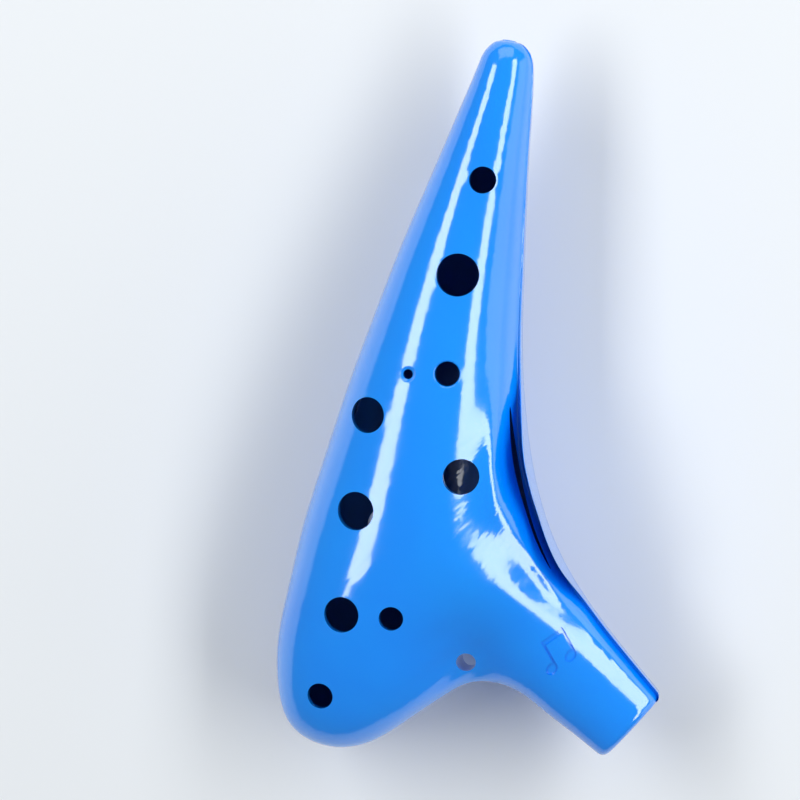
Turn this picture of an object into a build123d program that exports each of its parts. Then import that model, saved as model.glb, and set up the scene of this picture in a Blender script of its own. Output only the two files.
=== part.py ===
from build123d import *
import math
import os
import numpy as np

os.makedirs("parts", exist_ok=True)

# ---------------------------------------------------------------- dimensions
# Working axes: X along the body toward the tail, Y away from the player,
# Z out of the finger-hole side; the shells part at Z = 0.
WALL = 2.7            # shell wall
SEAM_W = 0.16         # half height of the witness groove along the parting line
SEAM_D = 0.20         # its depth
HOLE_LIP = 0.6        # rounding of the finger-hole lips
TIP_ROUND = 1.8       # rounding of the mouthpiece end

# Plan outline at the parting plane: (arc from tail tip, X, Y).  Negative arcs
# run down the side nearer the mouthpiece, positive ones round the big end.
OUTLINE = [
    (-162.2, -49.15, -74.11), (-145.0, -38.89, -60.30), (-128.0, -27.50, -47.70),
    (-110.0, -12.80, -37.36), (-92.0, 3.65, -30.11), (-74.0, 20.83, -24.78),
    (-56.0, 38.37, -20.74), (-38.0, 55.94, -16.88), (-24.0, 69.68, -14.15),
    (-16.0, 77.54, -12.67), (-11.0, 82.41, -11.56), (-7.5, 85.76, -10.40),
    (-4.5, 87.94, -8.37), (-1.5, 88.86, -5.38), (1.5, 88.57, -2.47),
    (4.5, 86.71, 0.07), (7.5, 83.99, 1.34), (11.0, 80.51, 1.88),
    (16.0, 75.57, 2.60), (24.0, 67.67, 3.86), (38.0, 53.83, 6.03),
    (56.0, 36.06, 8.83), (74.0, 18.19, 11.02), (92.0, 0.30, 12.89),
    (110.0, -17.66, 14.12), (128.0, -35.62, 15.06), (144.0, -51.63, 14.74),
    (156.0, -63.58, 14.00), (165.0, -72.32, 11.79), (173.0, -79.47, 8.31),
    (181.0, -84.33, 2.03), (189.0, -84.32, -5.93), (197.0, -81.16, -13.21),
    (204.0, -76.40, -18.38), (210.0, -71.90, -22.30), (215.5, -67.78, -25.96),
    (220.5, -63.95, -29.18), (225.5, -60.91, -33.15), (230.5, -59.47, -37.94),
    (236.0, -59.62, -43.44), (243.0, -62.11, -49.98), (251.0, -65.19, -57.35),
    (258.1, -68.04, -63.84),
]
# Cross-section stations: arc on the far side paired with arc on the near side.
FAN = [
    (0, 0), (10, 10), (25, 25), (50, 49), (75, 70), (95.7, 82.5), (115, 87.5),
    (133.2, 91.5), (148, 95), (162.8, 98.5), (174, 101.5), (185, 104.5),
    (196, 108.5), (205.9, 113), (216.9, 120.5), (228.4, 132.5), (240, 145),
    (249.6, 154.3), (258.1, 162.2), (268.1, 172.2),
]
# Fullness of each shell along the far-side arc (2.0 is a round section).
FULL_FRONT = [(0, 1.95), (30, 1.95), (60, 1.85), (95, 1.65), (150, 1.45), (185, 1.40),
              (206, 1.40), (217, 1.30), (228, 1.10), (243, 0.80), (268, 0.62)]
FULL_BACK = [(0, 2.05), (30, 2.05), (60, 2.02), (95, 1.90), (150, 1.72), (185, 1.66),
             (206, 1.62), (217, 1.46), (228, 1.20), (243, 0.84), (268, 0.64)]
# Thin web inside the crotch: X, Y, spread, strength
WEB = (-53.3, -30.2, 6.4, 4.6)

# Mouthpiece axes: tip centre, and the angle of the inward axis
TIP_X, TIP_Y, TIP_A = -60.449, -73.247, 61.26

# Finger holes: name, X, Y, bore radius
HOLES = [
    ("right_little", 55.53, -7.03, 3.15),
    ("right_ring", 32.79, -7.22, 5.00),
    ("right_middle", 10.06, -10.84, 2.85),
    ("right_index", -12.20, -20.06, 4.15),
    ("left_index", -4.15, 5.05, 4.15),
    ("left_middle", -26.33, 1.91, 4.45),
    ("left_ring", -50.88, -0.79, 4.20),
    ("left_sub", -48.60, -12.40, 2.85),
    ("left_little", -71.53, -0.20, 3.10),
]
SUB = (7.67, -1.98, 1.15, 2.0)          # small right-hand hole: X, Y, bore, countersink
THUMBS = [("left_thumb", -31.5, -3.0, 4.8), ("right_thumb", 21.0, -8.5, 4.8)]
LANYARD = (-55.60, -31.20, 2.25, 4.4)   # X, Y, bore radius, boss radius

# Windway, in mouthpiece axes (depth from the tip, side, Z)
WIND_L = 42.0                            # tip to the window
ROOF = (-1.0, -0.209)                    # Z at the tip, slope
FLOOR = (-3.0, -0.190)
CHAN = (6.2, 5.5)                        # half widths at the tip and at the window
SEAT = (7.2, 6.5)                        # half widths of the block's seat
RAIL = 8.5                               # outer half width of the duct
WINDOW_L = 5.6
LABIUM_Z = -11.55                        # height of the labium edge
RAMP = -0.80                             # slope of its ramp
MOUTH_END = 3.0                          # end wall of the hollow mouthpiece, front shell
BACK_END = 26.0                          # where the chamber starts in the back shell


# ---------------------------------------------------------------- surface
def spline(t, y, q):
    """Natural cubic spline through (t, y), straight beyond both ends."""
    t = np.asarray(t, float)
    y = np.asarray(y, float)
    q = np.asarray(q, float)
    n = len(t)
    h = np.diff(t)
    a = np.zeros((n, n))
    r = np.zeros((n,) + y.shape[1:])
    a[0, 0] = a[-1, -1] = 1
    for i in range(1, n - 1):
        a[i, i - 1] = h[i - 1]
        a[i, i] = 2 * (h[i - 1] + h[i])
        a[i, i + 1] = h[i]
        r[i] = 6 * ((y[i + 1] - y[i]) / h[i] - (y[i] - y[i - 1]) / h[i - 1])
    m = np.linalg.solve(a, r)
    qq = np.clip(q, t[0], t[-1])
    k = np.clip(np.searchsorted(t, qq, side="right") - 1, 0, n - 2)
    d, H, ex = qq - t[k], h[k], q - qq
    if y.ndim == 2:
        d, H, ex = d[:, None], H[:, None], ex[:, None]
    b = (y[k + 1] - y[k]) / H - H * (2 * m[k] + m[k + 1]) / 6
    v = y[k] + b * d + m[k] / 2 * d**2 + (m[k + 1] - m[k]) / (6 * H) * d**3
    return v + (b + m[k] * d + (m[k + 1] - m[k]) / (2 * H) * d**2) * ex


NS, NW = 150, 44


def fan():
    o = np.array(OUTLINE)
    f = np.array(FAN, float)
    mean = f.mean(1)
    t = np.linspace(0, mean[-1], NS + 1)
    a = spline(mean, f[:, 0], t)
    b = spline(mean, f[:, 1], t)
    a[0] = b[0] = 0
    A = spline(o[:, 0], o[:, 1:], a)
    B = spline(o[:, 0], o[:, 1:], -b)
    c = np.cos(np.pi * np.linspace(0, 1, NW + 1))
    return (A + B)[:, None] / 2 + c[None, :, None] * ((A - B) / 2)[:, None], a


def membrane(P, src):
    """Solve lap(u) = -src over the plan, with u = 0 along the outline."""
    ns, m = P.shape[0] - 1, P.shape[1]
    ids = np.arange((ns + 1) * m).reshape(ns + 1, m)
    q = np.stack([ids[:-1, :-1], ids[1:, :-1], ids[1:, 1:], ids[:-1, 1:]], -1).reshape(-1, 4)
    X = P.reshape(-1, 2)[q]
    C = src.reshape(-1)[q]
    Ke = np.zeros((len(q), 4, 4))
    Fe = np.zeros((len(q), 4))
    g = 1 / math.sqrt(3)
    for x, y in ((-g, -g), (g, -g), (g, g), (-g, g)):
        N = np.array([(1 - x) * (1 - y), (1 + x) * (1 - y), (1 + x) * (1 + y), (1 - x) * (1 + y)]) / 4
        D = np.array([[-(1 - y), (1 - y), (1 + y), -(1 + y)],
                      [-(1 - x), -(1 + x), (1 + x), (1 - x)]]) / 4
        J = np.einsum("an,enb->eab", D, X)
        det = np.abs(np.linalg.det(J))
        G = np.einsum("eab,bn->ean", np.linalg.inv(J), D)
        Ke += np.einsum("ean,eam->enm", G, G) * det[:, None, None]
        Fe += N[None] * (C @ N)[:, None] * det[:, None]
    Dg = np.zeros((ns + 1, m, m))
    Up = np.zeros((ns, m, m))
    F = np.zeros((ns + 1, m))
    r, c = q // m, q % m
    for i in range(4):
        np.add.at(F, (r[:, i], c[:, i]), Fe[:, i])
        for j in range(4):
            s = r[:, i] == r[:, j]
            np.add.at(Dg, (r[s, i], c[s, i], c[s, j]), Ke[s, i, j])
            s = r[:, j] == r[:, i] + 1
            np.add.at(Up, (r[s, i], c[s, i], c[s, j]), Ke[s, i, j])
    u = np.zeros((ns + 1, m))
    w = slice(1, m - 1)
    Db, Fb = [None] * (ns + 1), [None] * (ns + 1)
    for i in range(1, ns + 1):
        D, f = Dg[i][w, w].copy(), F[i][w].copy()
        if i > 1:
            U = Up[i - 1][w, w]
            T = np.linalg.solve(Db[i - 1], np.column_stack([U, Fb[i - 1]]))
            D -= U.T @ T[:, :-1]
            f -= U.T @ T[:, -1]
        Db[i], Fb[i] = D, f
    u[ns, w] = np.linalg.solve(Db[ns], Fb[ns])
    for i in range(ns - 1, 0, -1):
        u[i, w] = np.linalg.solve(Db[i], Fb[i] - Up[i][w, w] @ u[i + 1, w])
    return u


def heights(P, a, table):
    c = np.interp(a, [p[0] for p in table], [p[1] for p in table])
    c = np.convolve(np.pad(c, 8, mode="edge"), np.ones(17) / 17, "valid")
    x, y, s, k = WEB
    src = c[:, None] - k * np.exp(-((P[..., 0] - x) ** 2 + (P[..., 1] - y) ** 2) / (2 * s * s))
    return np.sqrt(np.maximum(membrane(P, src), 0))


def grid(table):
    P, a = fan()
    return np.dstack([P, heights(P, a, table)])


def normals(S):
    E = np.concatenate([S[:, 1:2] * [1, 1, -1], S, S[:, -2:-1] * [1, 1, -1]], 1)
    du, dw = np.gradient(E, axis=0)[:, 1:-1], ((E[:, 2:] - E[:, :-2]) / 2)
    N = np.cross(du, dw)
    N[:, 0, 2] = N[:, -1, 2] = 0
    tip = S[0, 0] - S[2].mean(0)
    tip[2] = 0
    N[0] = tip
    N /= np.linalg.norm(N, axis=2, keepdims=True)
    mid = S.mean(1, keepdims=True) * [1, 1, 0]
    flip = np.sign(((S - mid) * N).sum(2, keepdims=True))
    flip[0] = 1
    return N * np.where(flip == 0, 1, flip)


def offset_grid(S, t):
    Q = S - t * normals(S)
    Q[:, 0, 2] = Q[:, -1, 2] = 0
    Q[0, :, 2] = 0
    Q[0] = Q[0, 0]
    e = S[-1, -1] - S[-1, 0]
    e /= np.linalg.norm(e)
    d = Q[-1] - S[-1, 0]
    Q[-1] = S[-1, 0] + (d @ e)[:, None] * e + d[:, 2:3] * [0, 0, 1]
    return Q


ROWS = [1, 2, 3, 4, 6, 8, 11] + list(range(15, NS, 5)) + [NS]


def section(f, b, step=4):
    """Closed section across the body from a front and a back row of points."""
    e = f[-1] - f[0]
    e /= np.linalg.norm(e)

    def arc(g, side):
        d = g[::step] * [1, 1, side] - f[0]
        return f[0] + (d @ e)[:, None] * e + d[:, 2:3] * [0, 0, 1]

    p, q = arc(f, 1), arc(b, -1)[::-1]
    q[0], q[-1] = p[-1], p[0]
    up, down = Vector(0, 0, 1), Vector(0, 0, -1)
    return Wire([
        Edge.make_spline([Vector(*v) for v in p.tolist()], tangents=[up, down]),
        Edge.make_spline([Vector(*v) for v in q.tolist()], tangents=[down, up]),
    ])


def depths(G):
    """Distance of each section behind the mouthpiece's end plane."""
    mid = (G[:, 0] + G[:, -1]) / 2
    a = math.radians(TIP_A)
    return (mid[:, 0] - TIP_X) * math.cos(a) + (mid[:, 1] - TIP_Y) * math.sin(a)


def row_at(G, d):
    """Row of a grid at depth d, near the mouthpiece."""
    q = depths(G)[-20:]
    k = int(np.searchsorted(-q, -d))
    w = (q[k - 1] - d) / (q[k - 1] - q[k])
    R = G[-20:]
    return R[k - 1] * (1 - w) + R[k] * w


def body(t=0.0, first=1):
    """The whole outer shape set in by t, as one solid.  The outer one ends in a rounded tip."""
    F, B = (offset_grid(FRONT, t), offset_grid(BACK, t)) if t else (FRONT, BACK)
    rows = [i for i in ROWS if i >= first]
    if t:
        return Solid.make_loft([section(F[i], B[i]) for i in rows])
    D = depths(F)
    sections = [section(F[i], B[i]) for i in rows if D[i] > 9]
    for d in (7.0, 4.5, 3.0):
        sections.append(section(row_at(F, d), row_at(B, d)))
    for deg in (0, 20, 40, 58, 74, 90):
        d = TIP_ROUND * (1 - math.sin(math.radians(deg)))
        t = TIP_ROUND * (1 - math.cos(math.radians(deg)))
        G, H = (offset_grid(FRONT, t), offset_grid(BACK, t)) if t else (F, B)
        sections.append(section(row_at(G, d), row_at(H, d)))
    return Solid.make_loft(sections)


def plan_face(t, z=0.0, step=3):
    """Plan outline at the parting plane, set in by t."""
    Q = offset_grid(FRONT, t)[::step] + [0, 0, z]
    pts = [Vector(*p) for p in Q[::-1, 0][:-1].tolist()] + [Vector(*p) for p in Q[:, -1].tolist()]
    e = Edge.make_spline(pts)
    return Face(Wire([e, Edge.make_line(e @ 1, e @ 0)]))


def solids(shapes):
    return [k for h in shapes for k in h.solids()]


def largest(shape):
    return max(shape.solids(), key=lambda k: k.volume)


def minus(shape, *tools):
    return largest(shape.cut(*solids(tools)))


# ---------------------------------------------------------------- mouthpiece helpers
MOUTH = Location((TIP_X, TIP_Y, 0), (0, 0, TIP_A))


def plan_prism(pts, z0, z1):
    f = Face(Wire.make_polygon([Vector(d, s, z0) for d, s in pts], close=True))
    return MOUTH * Solid.extrude(f, Vector(0, 0, z1 - z0))


def side_prism(pts, s0, s1):
    f = Face(Wire.make_polygon([Vector(d, s0, z) for d, z in pts], close=True))
    return MOUTH * Solid.extrude(f, Vector(0, s1 - s0, 0))


def wedge(h0, h1, d0, d1, line, z_top, drop=0.0):
    """Tapered prism: half widths h0 at the tip to h1 at the window, above a sloping line."""
    w = lambda d: h0 + (h1 - h0) * d / WIND_L
    z = lambda d: line[0] + line[1] * d - drop
    p = plan_prism([(d0, -w(d0)), (d1, -w(d1)), (d1, w(d1)), (d0, w(d0))], -40, 40)
    s = side_prism([(d0, z(d0)), (d1, z(d1)), (d1, z_top), (d0, z_top)], -30, 30)
    return largest(p & s)


def beyond(depth, size=200):
    """Half space farther from the tip than depth."""
    return MOUTH * Pos(depth + size / 2, 0, 0) * Box(size, size * 2, size)


def before(depth, size=200):
    return MOUTH * Pos(depth - size / 2, 0, 0) * Box(size, size, size)


# ---------------------------------------------------------------- outer and inner bodies
FRONT = grid(FULL_FRONT)
BACK = grid(FULL_BACK)
UP = Pos(0, 0, 100) * Box(500, 500, 200)
DOWN = Pos(0, 0, -100) * Box(500, 500, 200)
outer = body()
inner = body(WALL, 4)


def surface_z(G, x, y):
    """Height of a surface grid above the parting plane near (x, y)."""
    d = np.hypot(G[..., 0] - x, G[..., 1] - y).ravel()
    k = np.argsort(d)[:12]
    p = G.reshape(-1, 3)[k]
    A = np.column_stack([np.ones(12), p[:, 0] - x, p[:, 1] - y])
    c = np.linalg.lstsq(A, p[:, 2], rcond=None)[0]
    n = np.array([-c[1], -c[2], 1.0])
    return float(c[0]), n / np.linalg.norm(n)


def trumpet(x, y, r, lip, side):
    """Tool that rounds the outer lip of a hole bored along Z, following the surface."""
    G = FRONT if side > 0 else BACK
    d = np.hypot(G[..., 0] - x, G[..., 1] - y).ravel()
    p = G.reshape(-1, 3)[d < r + lip + 3.5]
    u, v = p[:, 0] - x, p[:, 1] - y
    M = lambda u, v: np.column_stack([u**i * v**j for i in range(5) for j in range(5 - i)])
    c = np.linalg.lstsq(M(u, v), p[:, 2] ** 2, rcond=None)[0]
    rings = []
    for rad, down in [(-0.06, 1 + 0.5 / lip)] + [
            (1 - math.cos(math.radians(k)), 1 - math.sin(math.radians(k))) for k in (0, 25, 50, 72)] + [
            (0.93, -0.25), (1.0, -1.6)]:
        f = np.linspace(0, 2 * math.pi, 25)
        R = r + rad * lip
        U, V = R * np.cos(f), R * np.sin(f)
        Z = np.sqrt(np.maximum(M(U, V) @ c, 0)) - down * lip
        q = np.column_stack([x + U, y + V, Z])
        T = np.column_stack([-V, U, np.gradient(np.r_[Z[-2], Z, Z[1]])[1:-1] / (f[1] - f[0])])
        pt = lambda i: Vector(*q[i].tolist())
        tg = lambda i: Vector(*T[i].tolist()).normalized()
        rings.append(Wire([
            Edge.make_spline([pt(i) for i in range(0, 13)], tangents=[tg(0), tg(12)]),
            Edge.make_spline([pt(i) for i in range(12, 24)] + [pt(0)], tangents=[tg(12), tg(0)]),
        ]))
    tool = Solid.make_loft(rings)
    return tool if side > 0 else tool.mirror(Plane.XY)


def bore(x, y, r, side, depth=30):
    return Pos(x, y, side * (depth / 2 - 1)) * Cylinder(r, depth + 2)


def seam_ring(side):
    f = plan_face(SEAM_D)
    core = Solid.extrude(f, Vector(0, 0, side * SEAM_W))
    return Pos(0, 0, side * SEAM_W / 2) * Box(400, 400, SEAM_W) - core


boss = Pos(LANYARD[0], LANYARD[1], 0) * Cylinder(LANYARD[3], 60)

# ---------------------------------------------------------------- front shell
front = largest(outer & UP)
for name, x, y, r in HOLES + [("lanyard",) + LANYARD[:3]]:
    front = minus(front, bore(x, y, r, 1))
    front = minus(front, trumpet(x, y, r, HOLE_LIP if r > 3.5 else 0.5, 1))
x, y, r, sink = SUB
z, n = surface_z(FRONT, x, y)
front = minus(front, bore(x, y, r, 1))
front = minus(front, Pos(x + 2.3 * n[0], y + 2.3 * n[1], z + 2.3 * n[2]) * Sphere(3.0))
front = minus(front, minus(inner, before(MOUTH_END), boss))

# Two joined quavers sunk into the mouthpiece
MARK = Location((-47.3, -51.4, 0), (0, 0, -46.6))
MARK_D = 0.45
quavers = [
    Pos(-2.9, -2.9, 0) * Rot(0, 0, 25) * extrude(Ellipse(1.65, 1.2), 20),
    Pos(2.5, -2.2, 0) * Rot(0, 0, 25) * extrude(Ellipse(1.65, 1.2), 20),
    Pos(-1.65, 0.45, 10) * Box(0.65, 6.4, 20),
    Pos(3.75, 1.15, 10) * Box(0.65, 6.4, 20),
    Pos(1.05, 3.65, 10) * Rot(0, 0, 7.4) * Box(6.1, 1.3, 20),
]
skin = largest(body(MARK_D) & (MOUTH * Pos(25, 0, 15) * Box(40, 40, 30)))
front = minus(front, *[(MARK * q).cut(skin) for q in quavers])

# Witness groove
front = minus(front, seam_ring(1))

# ---------------------------------------------------------------- back shell
back = largest(outer & DOWN)
for name, x, y, r in THUMBS + [("lanyard",) + LANYARD[:3]]:
    back = minus(back, bore(x, y, r, -1))
    back = minus(back, trumpet(x, y, r, HOLE_LIP, -1))

W0, W1 = WIND_L, WIND_L + WINDOW_L
duct = plan_prism([(-5, -RAIL), (W1 + 1.5, -RAIL), (W1 + 1.5, RAIL), (-5, RAIL)], -40, 5)
labium = side_prism([(W1, -40), (W1, LABIUM_Z + 0.35), (W1 + 13, LABIUM_Z - 2.6), (W1 + 13, -40)],
                    -7.5, 7.5)
cavity = inner.cut(before(BACK_END), boss, duct, labium)
back = minus(back, *cavity.solids())
back = minus(back, wedge(SEAT[0], SEAT[1], -3, W0, ROOF, 2))
back = minus(back, wedge(CHAN[0], CHAN[1], -3, W0, FLOOR, 1))
back = minus(back, side_prism([(W0 - 0.01, 2), (W0 - 0.01, -40), (W1, -40), (W1, 2)], -CHAN[1], CHAN[1]))
back = minus(back, side_prism([(W0 - 0.01, 2), (W0 - 0.01, ROOF[0] + ROOF[1] * W0), (W1, LABIUM_Z + 0.35),
                               (W1 + 13, LABIUM_Z - 2.6), (W1 + 13, 2)], -SEAT[1], SEAT[1]))
back = minus(back, side_prism([(W1 - 0.01, LABIUM_Z), (W1 + 15, LABIUM_Z + 15 * RAMP), (W1 + 15, -40),
                               (W1 - 0.01, -40)], -CHAN[1], CHAN[1]))
back = minus(back, side_prism([(W0 + 2, 2), (W0 + 2, -6), (W1 + 3, -9), (W1 + 3, 2)], -RAIL - 0.1, RAIL + 0.1))
back = minus(back, seam_ring(-1))

# ---------------------------------------------------------------- windway block
block = wedge(SEAT[0] - 0.05, SEAT[1] - 0.05, 0.4, W0, ROOF, 0)
block = minus(block, wedge(5.6, 4.8, 15.0, W0 - 1.6, ROOF, 2, drop=-1.6))

# ---------------------------------------------------------------- placing and writing
whole = outer.bounding_box()
CX = (whole.min.X + whole.max.X) / 2
CY = (whole.min.Y + whole.max.Y) / 2
CZ = whole.min.Z
place = Pos(-CX, -CY, -CZ)
for name, shape in (("front_shell", front), ("back_shell", back), ("windway_block", block)):
    export_step(place * shape, "parts/" + name + ".step")
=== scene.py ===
import math

import bpy
import numpy as np
from mathutils import Matrix, Vector


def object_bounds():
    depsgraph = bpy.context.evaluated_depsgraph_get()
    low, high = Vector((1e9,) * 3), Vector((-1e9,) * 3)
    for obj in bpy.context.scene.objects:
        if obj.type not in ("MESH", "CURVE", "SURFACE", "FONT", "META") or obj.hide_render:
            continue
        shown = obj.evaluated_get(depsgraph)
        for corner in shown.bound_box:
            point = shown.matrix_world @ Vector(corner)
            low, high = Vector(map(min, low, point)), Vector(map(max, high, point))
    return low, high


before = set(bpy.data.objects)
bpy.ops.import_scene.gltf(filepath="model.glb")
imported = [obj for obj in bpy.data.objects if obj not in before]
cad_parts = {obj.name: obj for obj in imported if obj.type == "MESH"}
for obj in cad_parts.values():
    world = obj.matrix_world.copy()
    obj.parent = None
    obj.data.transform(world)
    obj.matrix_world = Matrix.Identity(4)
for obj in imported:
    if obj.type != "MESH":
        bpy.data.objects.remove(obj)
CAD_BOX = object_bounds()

scene = bpy.context.scene

# ------------------------------------------------------------------ camera
# Offset of the working axes (mm) from the shared frame, and the viewing direction.
CENTRE = (2.0946, -31.0703, -23.0597)
DIST = 850.0          # mm
WIDTH = 190.0         # mm across the picture at the parting plane
YAW, PITCH, TURN = math.radians(6.5), math.radians(3.0), math.radians(75.6)


def to_row(v):
    r, u, n = v
    return Vector((r * math.cos(TURN) + u * math.sin(TURN), -r * math.sin(TURN) + u * math.cos(TURN), n))


c = Vector((math.sin(YAW) * math.cos(PITCH), math.sin(PITCH), math.cos(YAW) * math.cos(PITCH)))
right = Vector((0, 1, 0)).cross(c).normalized()
up = c.cross(right)
AIM = Vector((-CENTRE[0], -CENTRE[1], -CENTRE[2])) / 1000
C, R, U = to_row(c), to_row(right), to_row(up)


def frame_matrix(x, y, z, loc):
    m = Matrix((x, y, z)).transposed().to_4x4()
    m.translation = loc
    return m


cam_data = bpy.data.cameras.new("camera")
cam_data.sensor_width = 36.0
cam_data.lens = 36.0 * DIST / WIDTH
cam_data.clip_end = 10
cam = bpy.data.objects.new("camera", cam_data)
scene.collection.objects.link(cam)
cam.matrix_world = frame_matrix(R, U, C, AIM + C * DIST / 1000)
scene.camera = cam

# ------------------------------------------------------------------ materials


def gloss_blue(name, inward):
    """Injection-moulded glossy ABS: even deep azure, faint flow and sink waviness, fine scuffs.
    Faces whose normal has the sign of inward along Z are the shell's interior: rougher (unpolished), and
    painted dark navy as painted shade for a cavity lit only through the holes."""
    m = bpy.data.materials.new(name)
    m.use_nodes = True
    nt = m.node_tree
    N, L = nt.nodes, nt.links
    N.clear()
    out = N.new("ShaderNodeOutputMaterial")
    bs = N.new("ShaderNodeBsdfPrincipled")
    L.new(bs.outputs[0], out.inputs[0])
    co = N.new("ShaderNodeTexCoord")

    def noise(scale, detail=2.0, rough=0.5, dist=0.0):
        n = N.new("ShaderNodeTexNoise")
        n.inputs["Scale"].default_value = scale
        n.inputs["Detail"].default_value = detail
        n.inputs["Roughness"].default_value = rough
        n.inputs["Distortion"].default_value = dist
        L.new(co.outputs["Object"], n.inputs["Vector"])
        return n

    # pigment: broad, very soft flow variation
    flow = noise(16.0, 3.0, 0.55, 0.6)
    ramp = N.new("ShaderNodeValToRGB")
    ramp.color_ramp.elements[0].position = 0.30
    ramp.color_ramp.elements[1].position = 0.72
    ramp.color_ramp.elements[0].color = (0.0, 0.25, 0.93, 1)
    ramp.color_ramp.elements[1].color = (0.0, 0.30, 0.98, 1)
    L.new(flow.outputs["Fac"], ramp.inputs["Fac"])
    sep = N.new("ShaderNodeSeparateXYZ")
    L.new(co.outputs["Normal"], sep.inputs[0])
    # painted shade: this mask picks the interior faces; below it mixes their colour to dark navy as painted
    # shade, and it also raises their roughness
    inside_shade_and_matt = N.new("ShaderNodeMapRange")
    inside_shade_and_matt.inputs["From Min"].default_value = 0.02 * inward
    inside_shade_and_matt.inputs["From Max"].default_value = 0.16 * inward
    L.new(sep.outputs["Z"], inside_shade_and_matt.inputs["Value"])
    inner_shade_mix = N.new("ShaderNodeMix")
    inner_shade_mix.data_type = "RGBA"
    L.new(inside_shade_and_matt.outputs[0], inner_shade_mix.inputs["Factor"])
    L.new(ramp.outputs["Color"], inner_shade_mix.inputs["A"])
    # painted shade: dark navy standing in for the shade inside the cavity
    inner_shade_mix.inputs["B"].default_value = (0.0, 0.10, 0.42, 1)
    L.new(inner_shade_mix.outputs["Result"], bs.inputs["Base Color"])

    # gloss: polished mould, with faint handling haze
    haze = noise(120.0, 4.0, 0.6)
    mr = N.new("ShaderNodeMapRange")
    mr.inputs["From Min"].default_value = 0.35
    mr.inputs["From Max"].default_value = 0.75
    mr.inputs["To Min"].default_value = 0.10
    mr.inputs["To Max"].default_value = 0.17
    L.new(haze.outputs["Fac"], mr.inputs["Value"])
    matt = N.new("ShaderNodeMath")
    matt.operation = "MULTIPLY_ADD"
    L.new(inside_shade_and_matt.outputs[0], matt.inputs[0])
    matt.inputs[1].default_value = 0.5
    L.new(mr.outputs[0], matt.inputs[2])
    L.new(matt.outputs[0], bs.inputs["Roughness"])

    # relief: sink waviness, then orange peel
    sink = noise(34.0, 1.0, 0.4)
    peel = noise(1400.0, 2.0, 0.5)
    b1 = N.new("ShaderNodeBump")
    b1.inputs["Strength"].default_value = 0.22
    b1.inputs["Distance"].default_value = 0.0006
    L.new(sink.outputs["Fac"], b1.inputs["Height"])
    b2 = N.new("ShaderNodeBump")
    b2.inputs["Strength"].default_value = 0.06
    b2.inputs["Distance"].default_value = 0.00003
    L.new(peel.outputs["Fac"], b2.inputs["Height"])
    L.new(b1.outputs[0], b2.inputs["Normal"])
    L.new(b2.outputs[0], bs.inputs["Normal"])

    bs.inputs["IOR"].default_value = 1.62
    bs.inputs["Subsurface Weight"].default_value = 0.06
    bs.inputs["Subsurface Radius"].default_value = (0.15, 0.5, 1.0)
    bs.inputs["Subsurface Scale"].default_value = 0.0025
    bs.inputs["Coat Weight"].default_value = 0.9
    bs.inputs["Coat Roughness"].default_value = 0.05
    return m


inward = {"front_shell": -1, "back_shell": 1, "windway_block": -1}
for name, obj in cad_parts.items():
    mat = gloss_blue("blue_abs_" + name, inward.get(name, 1))
    for s in obj.material_slots:
        s.material = mat

# ------------------------------------------------------------------ floor


def flat_material(name, color, rough):
    m = bpy.data.materials.new(name)
    m.use_nodes = True
    b = m.node_tree.nodes["Principled BSDF"]
    b.inputs["Base Color"].default_value = (*color, 1)
    b.inputs["Roughness"].default_value = rough
    b.inputs["Specular IOR Level"].default_value = 0.2
    return m


mesh = bpy.data.meshes.new("floor")
S = 3.0
mesh.from_pydata([(-S, -S, 0), (S, -S, 0), (S, S, 0), (-S, S, 0)], [], [(0, 1, 2, 3)])
floor = bpy.data.objects.new("floor", mesh)
scene.collection.objects.link(floor)
floor.location.z = CAD_BOX[0][2] - 0.0002
mesh.materials.append(flat_material("floor_pale", (0.80, 0.81, 0.82), 0.7))

# ------------------------------------------------------------------ light


def area(name, az, el, dist, sx, sy, power, color=(1, 1, 1), roll=0.0):
    """Area light aimed at the object: az and el in degrees about the camera axis (image right, image up)."""
    a, e = math.radians(az), math.radians(el)
    d = (R * math.sin(a) * math.cos(e) + U * math.sin(e) + C * math.cos(a) * math.cos(e)).normalized()
    x = U.cross(d).normalized()
    y = d.cross(x)
    if roll:
        q = Matrix.Rotation(math.radians(roll), 3, d)
        x, y = q @ x, q @ y
    l = bpy.data.lights.new(name, "AREA")
    l.shape = "RECTANGLE"
    l.size, l.size_y = sx, sy
    l.energy = power
    l.color = color
    o = bpy.data.objects.new(name, l)
    scene.collection.objects.link(o)
    o.matrix_world = frame_matrix(x, y, d, AIM + d * dist)
    return o


area("strip_left", -44, 14, 0.9, 0.26, 1.0, 5.2, (0.95, 0.98, 1.0))
area("strip_right", 37, 6, 0.9, 0.24, 1.3, 6.2, (0.95, 0.98, 1.0))
area("top_fill", 0, 66, 1.2, 0.9, 0.6, 2.2)
area("side_fill", 82, 2, 1.0, 1.0, 1.3, 4.5)

world = bpy.data.worlds.new("world")
scene.world = world
world.use_nodes = True
world.node_tree.nodes["Background"].inputs[0].default_value = (0.9, 0.95, 1.0, 1)
world.node_tree.nodes["Background"].inputs[1].default_value = 0.22

scene.view_settings.view_transform = "Standard"
scene.view_settings.look = "None"
scene.view_settings.exposure = 0.0
scene.view_settings.gamma = 1.0
